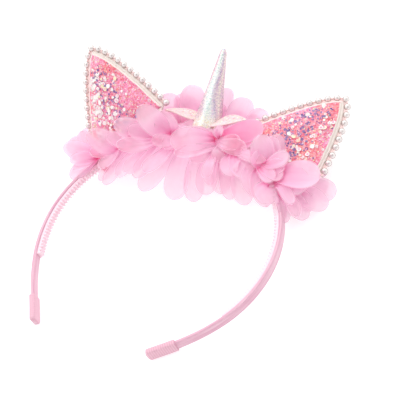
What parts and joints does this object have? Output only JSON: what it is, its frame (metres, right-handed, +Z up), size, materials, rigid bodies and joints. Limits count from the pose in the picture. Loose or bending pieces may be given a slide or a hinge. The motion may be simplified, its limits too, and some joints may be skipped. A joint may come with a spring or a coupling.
{
  "type": "headband",
  "caption": "Costume headband: a ribbon-wrapped hoop with two glitter ears edged in pearls, a padded horn, small leaves and a gathered trim of chiffon petals.",
  "frame": {"origin": "on the surface that the headband lies on, straight below the middle of the strip at the crown, on the flat underside of the gathered roots of the back petals", "axes": "+Z up, the side that faces forward when it is worn; +Y to the crown, ears and horn; -Y to the two tips; +X to the right ear as seen from the front"},
  "size_m": [0.1496, 0.1589, 0.0387],
  "materials": {
    "ribbon": "satin",
    "grip": "translucent",
    "ribbed_ribbon": "ribbed",
    "felt": "soft",
    "glitter": "glitter",
    "pearl": "pearl",
    "iridescent": "iridescent",
    "fine_glitter": "fine glitter",
    "chiffon": "sheer"
  },
  "bodies": {
    "root": {"band": "ribbon", "comb_strip": "grip", "cap_left": "ribbed_ribbon", "cap_right": "ribbed_ribbon", "ear_back_left": "felt", "ear_back_right": "felt", "ear_face_left": "glitter", "ear_face_right": "glitter", "pearls_left": "pearl", "pearls_right": "pearl", "horn": "iridescent", "leaf_left": "fine_glitter", "leaf_right": "fine_glitter", "petals_front": "chiffon", "petals_back": "chiffon"}
  },
  "joints": []
}
